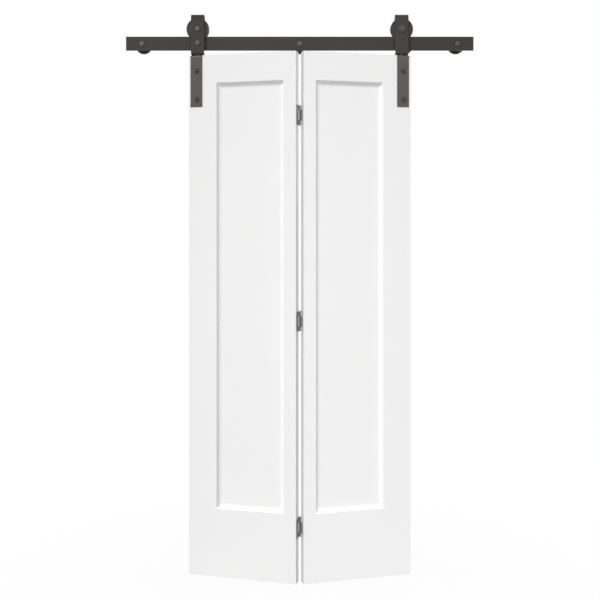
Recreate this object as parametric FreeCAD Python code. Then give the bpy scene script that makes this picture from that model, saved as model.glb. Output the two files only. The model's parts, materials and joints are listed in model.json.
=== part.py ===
"""Two-leaf folding door hung from a flat wall rail.

Frame: the origin is where the middle lag bolt's axis meets the wall, +X points right
along the rail, +Y into the wall and +Z up. The wall is the plane y = 0 and the rail's
centre line is at z = 0. Millimetres.

Each leaf swivels under a strap hanger. The left hanger is bolted to the rail and the
right one rolls along it. The leaves are hinged to each other at their inner edges, and
they stand part folded, with the middle of the door away from the wall.
"""
import FreeCAD
import Part
import math
import os

# ---- driving dimensions, millimetres and degrees ------------------------------------
# leaves
LEAF_WIDTH = 457.0
LEAF_HEIGHT = 2134.0
LEAF_THICKNESS = 40.0
LEAF_GAP = 6.0              # between the leaves when the door is flat
FOLD_AT_REST = 15.0         # each leaf's turn out of the flat
OUTER_MARGIN = 121.0        # leaf edge to panel recess, hanger side
INNER_MARGIN = 51.5         # leaf edge to panel recess, hinge side
TOP_MARGIN = 115.0
BOTTOM_MARGIN = 279.0
SKIN_THICKNESS = 3.2
RECESS_DEPTH = 11.0
COVE_WIDTH = 20.0           # from the recess's rim to the flat of the panel
RIM_DEPTH = 7.0             # the recess's steep rim, above its cove
RIM_DRAFT = 4.0             # how far that rim leans inwards
WOOD_SET_BACK = 9.0         # solid frame wood stops this far short of the recess
CORE_CELL = 80.0            # across the flats of one honeycomb cell
CORE_WALL = 2.0

# rail and what holds it to the wall
RAIL_LENGTH = 1432.0
RAIL_HEIGHT = 57.0
RAIL_THICKNESS = 6.0
RAIL_END_TO_BOLT = 66.0
SIDE_SPACER_X = 437.0       # the extra spacer under the rolling hanger's parking place
SPACER_LENGTH = 48.0
SPACER_UNDER_WHEEL = 1.4    # wheel rim passing over a spacer or a lag washer
SPACER_FOOT_RADIUS = 35.0
SPACER_FOOT_THICKNESS = 7.0
SPACER_FOOT_CHAMFER = 2.0
LAG_RADIUS = 4.0
LAG_THREAD_RADIUS = 3.8
LAG_INTO_WALL = 50.0
LAG_TIP = 8.0
LAG_HEAD_FLATS = 16.0
LAG_HEAD_HEIGHT = 5.3
LAG_WASHER_THICKNESS = 1.5

# wheels and hangers
WHEEL_TREAD_RADIUS = 29.1
WHEEL_FLANGE_DEPTH = 17.4   # how far the rim stands out past the tread
WHEEL_THICKNESS = 24.0
WHEEL_ON_RAIL = 0.3         # play between the tread and the rail's top edge
GROOVE_SIDE_PLAY = 1.0
GROOVE_FLARE = 1.2
WHEEL_EDGE = 2.0
WHEEL_DISH = 1.6            # how far the wheel's side faces are turned down
WHEEL_RIM_BAND = 5.5        # width of the band that is left proud at the rim
HANGER_WIDTH = 54.0
STRAP_WIDTH = 50.0          # the bracket's, on the leaf
STRAP_THICKNESS = 6.0
WHEEL_TO_PLATE = 2.5
HANGER_TOP_GAP = 8.6        # wheel rim to the inside of the strap's top bend
BACK_PLATE_BELOW_AXLE = 28.0
FOOT_BEND_RADIUS = 5.0
FOOT_BEHIND_PIVOT = 26.0
RAIL_TO_FOOT = 13.0
FOOT_CORNER = 5.0

# axles and bearings
AXLE_RADIUS = 9.0
AXLE_NUT_FLATS = 27.0
AXLE_NUT_HEIGHT = 9.0
AXLE_END = 3.0
SLEEVE_BOLT_RADIUS = 6.0    # the fixed hanger's axle is a sleeve on a thinner bolt
SLEEVE_BOLT_FLATS = 19.0
SLEEVE_BOLT_HEAD = 7.5
SLEEVE_NUT_HEIGHT = 10.0
BEARING_RADIUS = 23.5
BEARING_WIDTH = 14.0
BALL_RADIUS = 3.6
BALL_COUNT = 9
BALL_PLAY = 0.3
RACE_LIP = 1.6
AXLE_SPACER_WALL = 3.0

# the bolt that fixes the left hanger to the rail
FIXING_RADIUS = 6.0
FIXING_FLATS = 18.0
FIXING_HEAD_HEIGHT = 7.0
FIXING_NUT_HEIGHT = 9.0
FIXING_WASHER_RADIUS = 12.0
FIXING_WASHER_THICKNESS = 2.0
FIXING_SLEEVE_WALL = 4.0

# swivel pivots
PIVOT_INSET = 34.5          # leaf's outer edge to the pivot axis
PIVOT_RADIUS = 6.0
PIVOT_HEAD_HEIGHT = 2.0
PIVOT_WASHER_RADIUS = 16.0
PIVOT_WASHER_THICKNESS = 3.0
PIVOT_TAIL_HEIGHT = 2.0
PIVOT_TAIL_PLAY = 1.0       # round the rivet's tail, in its hollow in the leaf
BRACKET_LET_IN = 6.2        # how deep the bracket's flange is let into the leaf's top edge
BRACKET_BEND_RADIUS = 3.0   # inside the bend
BRACKET_BEHIND_PIVOT = 20.0
BRACKET_DROP = 213.4        # leaf's top edge to the strap's lower end
STRAP_BOLT_DROP = 60.4      # leaf's top edge to the upper strap bolt
STRAP_BOLT_SPACING = 118.5
STRAP_BOLT_RADIUS = 5.0
STRAP_BOLT_FLATS = 17.0
STRAP_BOLT_HEAD = 6.4
STRAP_NUT_HEIGHT = 8.0
STRAP_WASHER_RADIUS = 10.5
STRAP_WASHER_THICKNESS = 2.0
BOLT_END = 2.0

# hinges between the leaves
HINGE_FROM_TOP = 254.0
HINGE_FROM_BOTTOM = 218.0
HINGE_HEIGHT = 80.0
HINGE_PLATE_THICKNESS = 2.0
HINGE_PLATE_DEPTH = 31.0    # how far the outer plate reaches over the leaf's edge
HINGE_STRIP = 8.0           # width of the outer plate's front strip
HINGE_AXIS_BEHIND_LEAF = 8.0
KNUCKLE_RADIUS = 4.5
KNUCKLE_HEIGHT = 41.0       # the inner plate's knuckle, in the middle
HINGE_CHAMFER = 5.0
HINGE_PIN_RADIUS = 2.2
HINGE_PIN_HEAD_RADIUS = 3.4
HINGE_PIN_HEAD = 1.2
SCREW_RADIUS = 1.9
SCREW_HEAD_RADIUS = 3.6
SCREW_LENGTH = 25.0
SCREW_FROM_BACK = 7.0
SCREW_ROW_SPACING = 15.0

# clearances
RUNNING = 0.08              # radial, pin in a hole that turns on it
SEAT = 0.05                 # radial, press or slip seat
HOLE_PLAY = 0.4             # radial, bolt in its hole
BODY_PLAY = 0.3             # between faces that move past each other
HEAD_CHAMFER_SHARE = 0.94   # flat top of a hexagon head, as a share of its flats

# ---- worked out from the above ------------------------------------------------------
RAIL_Y = -(SPACER_LENGTH + RAIL_THICKNESS / 2)
RAIL_FRONT = RAIL_Y - RAIL_THICKNESS / 2
RAIL_BACK = RAIL_Y + RAIL_THICKNESS / 2
RAIL_TOP = RAIL_HEIGHT / 2
LAG_X = RAIL_LENGTH / 2 - RAIL_END_TO_BOLT
SPACER_PLACES = (-LAG_X, 0.0, SIDE_SPACER_X, LAG_X)

AXLE_Z = RAIL_TOP + WHEEL_ON_RAIL + WHEEL_TREAD_RADIUS
WHEEL_RADIUS = WHEEL_TREAD_RADIUS + WHEEL_FLANGE_DEPTH
SPACER_RADIUS = AXLE_Z - WHEEL_RADIUS - SPACER_UNDER_WHEEL
PLATE_INSIDE = WHEEL_THICKNESS / 2 + WHEEL_TO_PLATE
PLATE_OUTSIDE = PLATE_INSIDE + STRAP_THICKNESS
PLATE_MIDDLE = PLATE_INSIDE + STRAP_THICKNESS / 2
HANGER_TOP = AXLE_Z + WHEEL_RADIUS + HANGER_TOP_GAP + STRAP_THICKNESS
FOOT_TOP = -RAIL_TOP - RAIL_TO_FOOT
FOOT_UNDER = FOOT_TOP - STRAP_THICKNESS
BRACKET_TOP = FOOT_UNDER - PIVOT_WASHER_THICKNESS - BODY_PLAY
BRACKET_UNDER = BRACKET_TOP - STRAP_THICKNESS
PIVOT_HEAD_RADIUS = PLATE_INSIDE - FOOT_BEND_RADIUS - BODY_PLAY
LEAF_TOP = BRACKET_UNDER + BRACKET_LET_IN
LEAF_BOTTOM = LEAF_TOP - LEAF_HEIGHT

# leaf frame: origin on the pivot axis, +X towards the hinges, +Y to the leaf's back
LEAF_OUTER = -PIVOT_INSET
LEAF_INNER = LEAF_WIDTH - PIVOT_INSET
LEAF_FRONT = -PLATE_INSIDE
LEAF_BACK = LEAF_FRONT + LEAF_THICKNESS
HINGE_X = LEAF_INNER + LEAF_GAP / 2
HINGE_Y = LEAF_BACK + HINGE_AXIS_BEHIND_LEAF
FOLD = math.radians(FOLD_AT_REST)
HALF_SPAN = HINGE_X * math.cos(FOLD) + HINGE_Y * math.sin(FOLD)
LOWEST_HINGE = LEAF_BOTTOM + HINGE_FROM_BOTTOM
HIGHEST_HINGE = LEAF_TOP - HINGE_FROM_TOP
HINGE_HEIGHTS = (HIGHEST_HINGE, (HIGHEST_HINGE + LOWEST_HINGE) / 2, LOWEST_HINGE)
STRAP_BOLT_HEIGHTS = (
    LEAF_TOP - STRAP_BOLT_DROP,
    LEAF_TOP - STRAP_BOLT_DROP - STRAP_BOLT_SPACING,
)
STRAP_FRONT = LEAF_FRONT - STRAP_THICKNESS

FORWARD = FreeCAD.Vector(0, -1, 0)
BACKWARD = FreeCAD.Vector(0, 1, 0)
UP = FreeCAD.Vector(0, 0, 1)
SIDEWAYS = FreeCAD.Vector(1, 0, 0)
ORIGIN = FreeCAD.Vector(0, 0, 0)


# ---- small helpers ------------------------------------------------------------------
def point(x, y, z):
    return FreeCAD.Vector(x, y, z)


def block(x_range, y_range, z_range):
    """A box between three pairs of planes."""
    lows = [min(r) for r in (x_range, y_range, z_range)]
    sizes = [max(r) - min(r) for r in (x_range, y_range, z_range)]
    return Part.makeBox(*sizes, point(*lows))


def facing(shape, outward, place, spin=0.0):
    """Turn a shape built along +Z so that +Z points outward, and move it to place."""
    turned = shape.copy()
    turn = FreeCAD.Rotation(UP, outward).multiply(FreeCAD.Rotation(UP, spin))
    turned.Placement = FreeCAD.Placement(place, turn)
    return turned


def moved(shapes, offset):
    """Copies of the shapes, moved by the offset."""
    result = []
    for shape in shapes:
        copy = shape.copy()
        copy.translate(offset)
        result.append(copy)
    return result


def turned_profile(points):
    """A solid of revolution about +Z from (radius, height) points."""
    wire = Part.makePolygon([point(r, 0, h) for r, h in points + points[:1]])
    return Part.Face(wire).revolve(ORIGIN, UP, 360)


def tube(outer, inner, low, high):
    """A ring about +Z between two heights."""
    return turned_profile([(inner, low), (outer, low), (outer, high), (inner, high)])


def hexagon(flats, low, high):
    """A hexagon prism about +Z with corners on the X axis."""
    corner = flats / math.sqrt(3)
    steps = [math.radians(60 * k) for k in range(7)]
    wire = Part.makePolygon([point(corner * math.cos(a), corner * math.sin(a), low) for a in steps])
    return Part.Face(wire).extrude(UP * (high - low))


def hexagon_head(flats, low, high, both_ends=False):
    """A hexagon with its corners turned off at the top, or at both ends."""
    corner = flats / math.sqrt(3)
    flat_top = flats / 2 * HEAD_CHAMFER_SHARE
    slope = (corner - flat_top) * math.tan(math.radians(30))
    bottom = [(flat_top, low), (corner, low + slope)] if both_ends else [(corner, low)]
    profile = [(0, low)] + bottom + [(corner, high - slope), (flat_top, high), (0, high)]
    return hexagon(flats, low, high).common(turned_profile(profile))


def bolt(radius, length, flats, head):
    """A hexagon bolt: the head stands on z = 0 and the shank hangs below it."""
    end = radius * 0.12
    shank = turned_profile([(0, 0), (radius, 0), (radius, end - length),
                            (radius - end, -length), (0, -length)])
    return hexagon_head(flats, 0, head).fuse(shank).removeSplitter()


def nut(radius, flats, height):
    """A hexagon nut standing on z = 0."""
    return hexagon_head(flats, 0, height, both_ends=True).cut(
        Part.makeCylinder(radius + SEAT, 3 * height, point(0, 0, -height)))


def strip_face(corners, bend_radii, thickness):
    """Side view of a bent strip, as a face in the YZ plane.

    corners are (y, z) points of the strip's middle line and bend_radii the inside radius
    of the bend at each corner between the first and the last.
    """
    line = [point(0, y, z) for y, z in corners]
    runs = [(b - a).normalize() for a, b in zip(line, line[1:])]
    edges = []
    sides = []
    for side in (1, -1):
        last = line[0] + SIDEWAYS.cross(runs[0]) * (side * thickness / 2)
        ends = [last]
        for corner, before, after, inside in zip(line[1:], runs, runs[1:], bend_radii):
            left = 1 if before.cross(after).x > 0 else -1
            to_centre = [SIDEWAYS.cross(run) * left for run in (before, after)]
            middle = (to_centre[0] + to_centre[1]).normalize()
            middle_radius = inside + thickness / 2
            centre = corner + middle * (middle_radius / middle.dot(to_centre[0]))
            radius = middle_radius - left * side * thickness / 2
            start, mid, end = [centre - n * radius for n in (to_centre[0], middle, to_centre[1])]
            if start.distanceToPoint(last) > 1e-6:
                edges.append(Part.LineSegment(last, start).toShape())
            edges.append(Part.Arc(start, mid, end).toShape())
            last = end
        finish = line[-1] + SIDEWAYS.cross(runs[-1]) * (side * thickness / 2)
        edges.append(Part.LineSegment(last, finish).toShape())
        ends.append(finish)
        sides.append(ends)
    for first, second in zip(sides[0], sides[1]):
        edges.append(Part.LineSegment(first, second).toShape())
    return Part.Face(Part.Wire(Part.__sortEdges__(edges)))


def bent_strip(corners, bend_radii, width):
    """A strap bent from flat strip, centred on x = 0."""
    face = strip_face(corners, bend_radii, STRAP_THICKNESS)
    face.translate(SIDEWAYS * (-width / 2))
    return face.extrude(SIDEWAYS * width)


def round_upright_edges(shape, radius, y):
    """Round the vertical edges that lie in the plane of the given y."""
    chosen = []
    for edge in shape.Edges:
        ends = [vertex.Point for vertex in edge.Vertexes]
        if len(ends) == 2 and all(abs(p.y - y) < 1e-6 for p in ends):
            if abs(ends[0].x - ends[1].x) < 1e-6:
                chosen.append(edge)
    return shape.makeFillet(radius, chosen)


def drill(shape, radius, place, direction, length):
    """Cut a round hole that starts at place."""
    return shape.cut(Part.makeCylinder(radius, length, place, direction))


def save(node, shapes):
    """Write one sub-part's solids to its STEP file."""
    solids = []
    for shape in shapes:
        solids.extend(shape.Solids)
    for solid in solids:
        if not solid.isValid() or solid.Volume <= 0:
            raise ValueError("bad solid in " + node)
    whole = solids[0] if len(solids) == 1 else Part.makeCompound(solids)
    whole.exportStep(os.path.join("parts", node + ".step"))


# ---- rail, spacers and lag bolts ----------------------------------------------------
def track_rail():
    """The flat bar, drilled for the spacers and for the fixed hanger."""
    bar = block((-RAIL_LENGTH / 2, RAIL_LENGTH / 2), (RAIL_FRONT, RAIL_BACK), (-RAIL_TOP, RAIL_TOP))
    for x in SPACER_PLACES:
        bar = drill(bar, LAG_RADIUS + HOLE_PLAY, point(x, RAIL_FRONT, 0), BACKWARD, RAIL_THICKNESS)
    place = point(-HALF_SPAN, RAIL_FRONT, 0)
    return drill(bar, FIXING_RADIUS + HOLE_PLAY, place, BACKWARD, RAIL_THICKNESS)


def wall_spacer(x):
    """A turned spacer with a wide foot that stands against the wall."""
    bore = LAG_RADIUS + HOLE_PLAY
    foot = SPACER_LENGTH - SPACER_FOOT_THICKNESS
    profile = [(bore, 0), (SPACER_RADIUS, 0), (SPACER_RADIUS, foot),
               (SPACER_FOOT_RADIUS - SPACER_FOOT_CHAMFER, foot),
               (SPACER_FOOT_RADIUS, foot + SPACER_FOOT_CHAMFER),
               (SPACER_FOOT_RADIUS, SPACER_LENGTH), (bore, SPACER_LENGTH)]
    return facing(turned_profile(profile), BACKWARD, point(x, RAIL_BACK, 0))


def lag_bolt(x):
    """A hexagon lag bolt through washer, rail and spacer into the wall."""
    seat = RAIL_FRONT - LAG_WASHER_THICKNESS
    threads_end = LAG_INTO_WALL - seat
    profile = [(0, 0), (LAG_RADIUS, 0), (LAG_RADIUS, seat), (LAG_THREAD_RADIUS, seat),
               (LAG_THREAD_RADIUS, -threads_end), (0, -threads_end - LAG_TIP)]
    shank = turned_profile(profile)
    head = hexagon_head(LAG_HEAD_FLATS, 0, LAG_HEAD_HEIGHT)
    return facing(head.fuse(shank).removeSplitter(), FORWARD, point(x, seat, 0))


def lag_washer(x):
    """The flat washer under a lag bolt's head."""
    ring = tube(SPACER_RADIUS, LAG_RADIUS + HOLE_PLAY, 0, LAG_WASHER_THICKNESS)
    return facing(ring, FORWARD, point(x, RAIL_FRONT, 0))


# ---- hangers, in a frame with its origin where the pivot axis crosses z = 0 ----------
def hanger_strap(front_hole, back_hole):
    """The strap: back plate, top bend, front plate and the foot under the rail."""
    path = [(PLATE_MIDDLE, AXLE_Z - BACK_PLATE_BELOW_AXLE),
            (PLATE_MIDDLE, HANGER_TOP - STRAP_THICKNESS / 2),
            (-PLATE_MIDDLE, HANGER_TOP - STRAP_THICKNESS / 2),
            (-PLATE_MIDDLE, FOOT_TOP - STRAP_THICKNESS / 2),
            (FOOT_BEHIND_PIVOT, FOOT_TOP - STRAP_THICKNESS / 2)]
    strap = bent_strip(path, (PLATE_INSIDE, PLATE_INSIDE, FOOT_BEND_RADIUS), HANGER_WIDTH)
    strap = round_upright_edges(strap, FOOT_CORNER, FOOT_BEHIND_PIVOT)
    strap = drill(strap, front_hole, point(0, -PLATE_OUTSIDE, AXLE_Z), BACKWARD, STRAP_THICKNESS)
    strap = drill(strap, back_hole, point(0, PLATE_INSIDE, AXLE_Z), BACKWARD, STRAP_THICKNESS)
    return drill(strap, PIVOT_RADIUS + SEAT, point(0, 0, FOOT_UNDER), UP, STRAP_THICKNESS)


def pivot_rivet():
    """The swivel rivet: low head over the foot, shank, tail under the bracket."""
    tail_top = BRACKET_UNDER - BODY_PLAY
    tail = tail_top - PIVOT_TAIL_HEIGHT
    edge = PIVOT_HEAD_HEIGHT / 2
    return turned_profile([
        (0, FOOT_TOP + PIVOT_HEAD_HEIGHT),
        (PIVOT_HEAD_RADIUS - edge, FOOT_TOP + PIVOT_HEAD_HEIGHT),
        (PIVOT_HEAD_RADIUS, FOOT_TOP + edge), (PIVOT_HEAD_RADIUS, FOOT_TOP),
        (PIVOT_RADIUS, FOOT_TOP), (PIVOT_RADIUS, tail_top),
        (PIVOT_HEAD_RADIUS, tail_top), (PIVOT_HEAD_RADIUS - edge, tail), (0, tail)])


def pivot_washer():
    """The thrust washer between the foot and the leaf's bracket."""
    low = FOOT_UNDER - PIVOT_WASHER_THICKNESS
    return tube(PIVOT_WASHER_RADIUS, PIVOT_RADIUS + SEAT, low, FOOT_UNDER)


def on_axle(shape):
    """Place a shape built about +Z on the wheel's axle, with +Z towards the viewer."""
    return facing(shape, FORWARD, point(0, 0, AXLE_Z))


def wheel():
    """The grooved wheel, bored through and stepped for its bearing."""
    half = WHEEL_THICKNESS / 2
    groove = RAIL_THICKNESS / 2 + GROOVE_SIDE_PLAY
    mouth = groove + GROOVE_FLARE
    band = WHEEL_RADIUS - WHEEL_RIM_BAND
    dish = half - WHEEL_DISH
    hub = BEARING_RADIUS + (WHEEL_TREAD_RADIUS - BEARING_RADIUS) / 2
    bore = BEARING_RADIUS + SEAT
    upper = [(WHEEL_TREAD_RADIUS, groove), (WHEEL_RADIUS, mouth),
             (WHEEL_RADIUS, half - WHEEL_EDGE), (WHEEL_RADIUS - WHEEL_EDGE, half),
             (band, half), (band - WHEEL_DISH, dish), (hub + WHEEL_DISH, dish),
             (hub, half), (bore, half)]
    lower = [(r, -h) for r, h in reversed(upper)]
    return on_axle(turned_profile(upper + lower))


def race(seat, lip_radius, pitch):
    """One bearing ring: a plain seat on one side and a ball groove on the other."""
    half = BEARING_WIDTH / 2
    low, high = sorted((seat, lip_radius))
    groove = Part.makeTorus(pitch, BALL_RADIUS + BALL_PLAY)
    return on_axle(tube(high, low, -half, half).cut(groove))


def bearing(axle_radius):
    """Inner ring, outer ring and balls of a deep groove bearing."""
    inner_seat = axle_radius + SEAT
    pitch = (axle_radius + BEARING_RADIUS) / 2
    inner = race(inner_seat, pitch - RACE_LIP, pitch)
    outer = race(BEARING_RADIUS, pitch + RACE_LIP, pitch)
    balls = []
    for k in range(BALL_COUNT):
        angle = math.radians(360.0 * k / BALL_COUNT)
        place = point(pitch * math.cos(angle), pitch * math.sin(angle), 0)
        balls.append(on_axle(Part.makeSphere(BALL_RADIUS, place)))
    return inner, outer, balls


def axle_spacers():
    """The rings that hold the bearing's inner ring midway between the plates."""
    inner = AXLE_RADIUS + SEAT
    ring = tube(AXLE_RADIUS + AXLE_SPACER_WALL, inner, BEARING_WIDTH / 2, PLATE_INSIDE)
    other = tube(AXLE_RADIUS + AXLE_SPACER_WALL, inner, -PLATE_INSIDE, -BEARING_WIDTH / 2)
    return [on_axle(ring), on_axle(other)]


def rolling_axle():
    """The rolling hanger's axle bolt, headed at the back, and its nut at the front."""
    length = 2 * PLATE_OUTSIDE + AXLE_NUT_HEIGHT + AXLE_END
    axle = facing(bolt(AXLE_RADIUS, length, AXLE_NUT_FLATS, AXLE_NUT_HEIGHT),
                  BACKWARD, point(0, PLATE_OUTSIDE, AXLE_Z), 90)
    front_nut = facing(nut(AXLE_RADIUS, AXLE_NUT_FLATS, AXLE_NUT_HEIGHT),
                       FORWARD, point(0, -PLATE_OUTSIDE, AXLE_Z), 90)
    return axle, front_nut


def sleeved_axle():
    """The fixed hanger's axle: bolt headed at the front, sleeve and nut at the back."""
    length = 2 * PLATE_OUTSIDE + SLEEVE_NUT_HEIGHT + BOLT_END
    axle = facing(bolt(SLEEVE_BOLT_RADIUS, length, SLEEVE_BOLT_FLATS, SLEEVE_BOLT_HEAD),
                  FORWARD, point(0, -PLATE_OUTSIDE, AXLE_Z))
    sleeve = on_axle(tube(AXLE_RADIUS, SLEEVE_BOLT_RADIUS + SEAT, -PLATE_INSIDE, PLATE_INSIDE))
    back_nut = facing(nut(SLEEVE_BOLT_RADIUS, SLEEVE_BOLT_FLATS, SLEEVE_NUT_HEIGHT),
                      BACKWARD, point(0, PLATE_OUTSIDE, AXLE_Z))
    return axle, sleeve, back_nut


def hanger_fixing():
    """Bolt, sleeve, washer and nut that fix the left hanger to the rail."""
    to_rail = PLATE_INSIDE - RAIL_THICKNESS / 2
    stack = STRAP_THICKNESS + to_rail + RAIL_THICKNESS + FIXING_WASHER_THICKNESS
    length = stack + FIXING_NUT_HEIGHT + BOLT_END
    screw = facing(bolt(FIXING_RADIUS, length, FIXING_FLATS, FIXING_HEAD_HEIGHT),
                   FORWARD, point(0, -PLATE_OUTSIDE, 0))
    hole = FIXING_RADIUS + HOLE_PLAY
    sleeve = facing(tube(FIXING_RADIUS + FIXING_SLEEVE_WALL, hole, 0, to_rail),
                    FORWARD, point(0, -RAIL_THICKNESS / 2, 0))
    washer = facing(tube(FIXING_WASHER_RADIUS, hole, 0, FIXING_WASHER_THICKNESS),
                    BACKWARD, point(0, RAIL_THICKNESS / 2, 0))
    back_nut = facing(nut(FIXING_RADIUS, FIXING_FLATS, FIXING_NUT_HEIGHT),
                      BACKWARD, point(0, RAIL_THICKNESS / 2 + FIXING_WASHER_THICKNESS, 0))
    return screw, sleeve, washer, back_nut


# ---- one leaf, in the leaf frame ----------------------------------------------------
def cove_outline(low, high, face, skin):
    """Cross-section of the panel recess across one direction: its two sides.

    Each side is four points, (along, depth): the steep rim's top and foot, then two more
    points of the cove, an arc that runs out level at the panel. With a skin thickness it is
    the hidden side, from where that leaves the flat of the skin.
    """
    run = COVE_WIDTH - RIM_DRAFT
    drop = RECESS_DEPTH - RIM_DEPTH
    radius = (run ** 2 + drop ** 2) / (2 * drop)
    centre = RECESS_DEPTH - radius
    reach = radius + skin
    slant = math.hypot(RIM_DRAFT, RIM_DEPTH)
    lean, fall = RIM_DRAFT / slant, RIM_DEPTH / slant
    top = (skin * (lean * (1 - lean) / fall - fall), skin)
    inward = (COVE_WIDTH - top[0]) * lean + (centre - top[1]) * fall
    away = (top[0] - COVE_WIDTH) ** 2 + (top[1] - centre) ** 2
    along = inward + math.sqrt(inward ** 2 - away + reach ** 2)
    foot = (top[0] + along * lean, top[1] + along * fall)
    halfway = math.asin((COVE_WIDTH - foot[0]) / reach) / 2
    middle = (COVE_WIDTH - reach * math.sin(halfway), centre + reach * math.cos(halfway))
    side = [top, foot, middle, (COVE_WIDTH, centre + reach)]
    left = [(low + u, face + d) for u, d in side]
    right = [(high - u, face + d) for u, d in reversed(side)]
    return left, right


def tray(x_range, z_range, face, skin):
    """The volume between the leaf's face plane and the coved recess.

    Two sweeps cross each other, each longer than the recess, so that they meet in mitres.
    """
    solids = []
    x_start = x_range[0] - COVE_WIDTH
    z_start = z_range[0] - COVE_WIDTH
    for low, high, to_point, sweep in (
            (x_range[0], x_range[1], lambda a, d: point(a, d, z_start),
             UP * (z_range[1] + COVE_WIDTH - z_start)),
            (z_range[0], z_range[1], lambda a, d: point(x_start, d, a),
             SIDEWAYS * (x_range[1] + COVE_WIDTH - x_start))):
        left, right = cove_outline(low, high, face, skin)
        coves = (left[1:], right[:3])
        edges = [Part.Arc(*[to_point(a, d) for a, d in cove]).toShape() for cove in coves]
        corners = [right[2], right[3], (right[3][0], face), (left[0][0], face), left[0], left[1]]
        straight = [(left[3], right[0])] + list(zip(corners, corners[1:]))
        for start, end in straight:
            start, end = to_point(*start), to_point(*end)
            if start.distanceToPoint(end) > 1e-6:
                edges.append(Part.LineSegment(start, end).toShape())
        outline = Part.Face(Part.Wire(Part.__sortEdges__(edges)))
        solids.append(outline.extrude(sweep))
    return solids[0].common(solids[1])


RECESS_X = (LEAF_OUTER + OUTER_MARGIN, LEAF_INNER - INNER_MARGIN)
RECESS_Z = (LEAF_BOTTOM + BOTTOM_MARGIN, LEAF_TOP - TOP_MARGIN)
LEAF_X = (LEAF_OUTER, LEAF_INNER)
LEAF_Z = (LEAF_BOTTOM, LEAF_TOP)


def bolt_through(shape):
    """Drill a leaf piece for the two strap bolts."""
    for z in STRAP_BOLT_HEIGHTS:
        place = point(0, LEAF_FRONT, z)
        shape = drill(shape, STRAP_BOLT_RADIUS + HOLE_PLAY, place, BACKWARD, LEAF_THICKNESS)
    return shape


def let_in(shape):
    """Cut a leaf piece for the bracket's flange, its bend and the rivet's tail."""
    half = STRAP_WIDTH / 2 + HOLE_PLAY
    back = BRACKET_BEHIND_PIVOT + HOLE_PLAY
    above = LEAF_TOP + STRAP_THICKNESS
    seat = block((-half, half), (LEAF_FRONT, back), (BRACKET_UNDER, above))
    relief = BRACKET_BEND_RADIUS + HOLE_PLAY
    bend = block((-half, half), (LEAF_FRONT, LEAF_FRONT + relief), (BRACKET_UNDER - relief, above))
    depth = BODY_PLAY + PIVOT_TAIL_HEIGHT + PIVOT_TAIL_PLAY
    tail = Part.makeCylinder(PIVOT_HEAD_RADIUS + PIVOT_TAIL_PLAY, 2 * depth,
                             point(0, 0, BRACKET_UNDER - depth), UP)
    return shape.cut([seat, bend, tail])


def skins():
    """The two moulded skins, each pressed with the same coved recess."""
    plate = block(LEAF_X, (LEAF_FRONT, LEAF_FRONT + SKIN_THICKNESS), LEAF_Z)
    hidden = tray(RECESS_X, RECESS_Z, LEAF_FRONT, SKIN_THICKNESS)
    shown = tray(RECESS_X, RECESS_Z, LEAF_FRONT, 0)
    front = plate.fuse(hidden).cut(shown).removeSplitter()
    back = front.mirror(point(0, (LEAF_FRONT + LEAF_BACK) / 2, 0), BACKWARD)
    return bolt_through(let_in(front)), bolt_through(back)


def frame_wood():
    """Outer stile, hinge stile, top rail and bottom rail between the skins."""
    depth = (LEAF_FRONT + SKIN_THICKNESS, LEAF_BACK - SKIN_THICKNESS)
    outer_edge = LEAF_OUTER + OUTER_MARGIN - WOOD_SET_BACK
    inner_edge = LEAF_INNER - INNER_MARGIN + WOOD_SET_BACK
    between = (outer_edge, inner_edge)
    top_edge = LEAF_TOP - TOP_MARGIN + WOOD_SET_BACK
    bottom_edge = LEAF_BOTTOM + BOTTOM_MARGIN - WOOD_SET_BACK
    outer = bolt_through(let_in(block((LEAF_OUTER, outer_edge), depth, LEAF_Z)))
    inner = block((inner_edge, LEAF_INNER), depth, LEAF_Z)
    top = block(between, depth, (top_edge, LEAF_TOP))
    bottom = block(between, depth, (LEAF_BOTTOM, bottom_edge))
    return outer, inner, top, bottom


def honeycomb():
    """The cell core that backs the panel between the skins."""
    x_range = (RECESS_X[0] + COVE_WIDTH, RECESS_X[1] - COVE_WIDTH)
    z_range = (RECESS_Z[0] + COVE_WIDTH, RECESS_Z[1] - COVE_WIDTH)
    sunk = RECESS_DEPTH + SKIN_THICKNESS
    y_range = (LEAF_FRONT + sunk, LEAF_BACK - sunk)
    slab = block(x_range, y_range, z_range)
    column_step = CORE_CELL
    row_step = CORE_CELL * math.sqrt(3) / 2
    hole = CORE_CELL - CORE_WALL
    corner = hole / math.sqrt(3)
    rows = int((z_range[1] - z_range[0] - 2 * CORE_WALL - 2 * corner) / row_step) + 1
    middle_x = sum(x_range) / 2
    middle_z = sum(z_range) / 2
    cells = []
    for row in range(rows):
        z = middle_z + (row - (rows - 1) / 2) * row_step
        shift = column_step / 2 if row % 2 else 0.0
        reach = (x_range[1] - x_range[0]) / 2 - CORE_WALL - hole / 2
        columns = range(-int((reach + shift) / column_step), int((reach - shift) / column_step) + 1)
        for column in columns:
            x = middle_x + shift + column * column_step
            cell = hexagon(hole, 0, y_range[1] - y_range[0])
            cells.append(facing(cell, BACKWARD, point(x, y_range[0], z), 90))
    return slab.cut(cells)


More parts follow.
